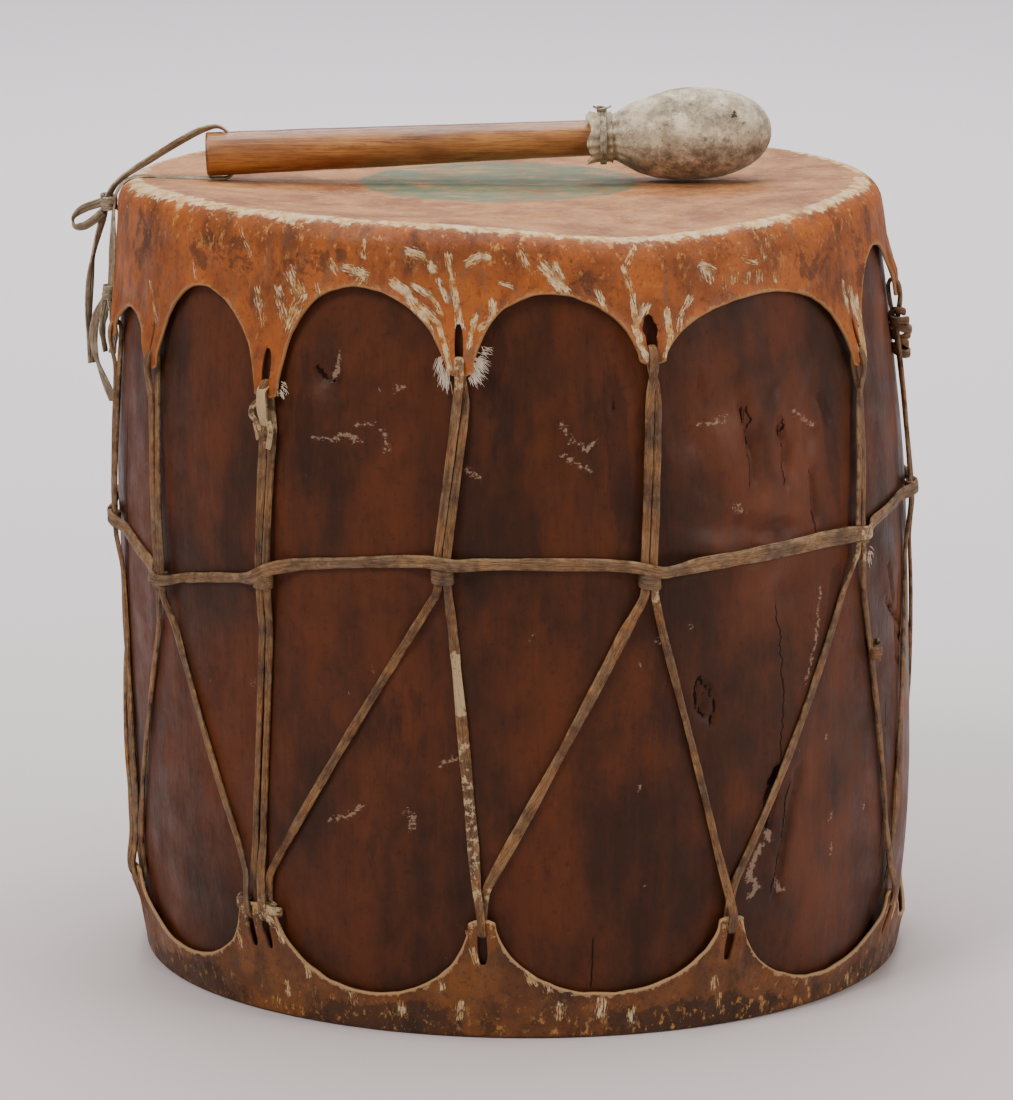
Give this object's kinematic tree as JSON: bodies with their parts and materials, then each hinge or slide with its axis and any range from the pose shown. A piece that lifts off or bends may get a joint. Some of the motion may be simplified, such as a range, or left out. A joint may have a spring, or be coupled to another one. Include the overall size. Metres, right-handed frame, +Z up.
{
  "type": "hide-covered log drum with beater",
  "caption": "Hollow log drum with laced rawhide skins over both ends, and a padded beater resting on top.",
  "frame": {"origin": "middle of the underside, on the surface that the drum stands on", "axes": "+Z up along the drum's height, -Y towards the front of the picture"},
  "size_m": [0.4587, 0.4459, 0.4717],
  "materials": {
    "painted_wood": "dark red-brown paint, worn and scratched",
    "painted_hide": "rawhide painted burnt orange, scuffed to cream",
    "lower_hide": "rawhide painted brown, soiled",
    "lace_hide": "dry rawhide thong",
    "stick_wood": "honey-coloured wood, handled smooth",
    "beater_hide": "soft pale hide, soiled grey and brown",
    "strap_hide": "pale soft thong"
  },
  "bodies": {
    "root": {"log_shell": "painted_wood", "upper_skin": "painted_hide", "lower_skin": "lower_hide", "lacing_thong": "lace_hide", "waist_thong": "lace_hide", "wrist_thong": "strap_hide", "bow_knot": "strap_hide", "tail_knot": "strap_hide", "beater_stick": "stick_wood", "beater_bulb": "beater_hide", "beater_binding": "strap_hide"}
  },
  "joints": []
}
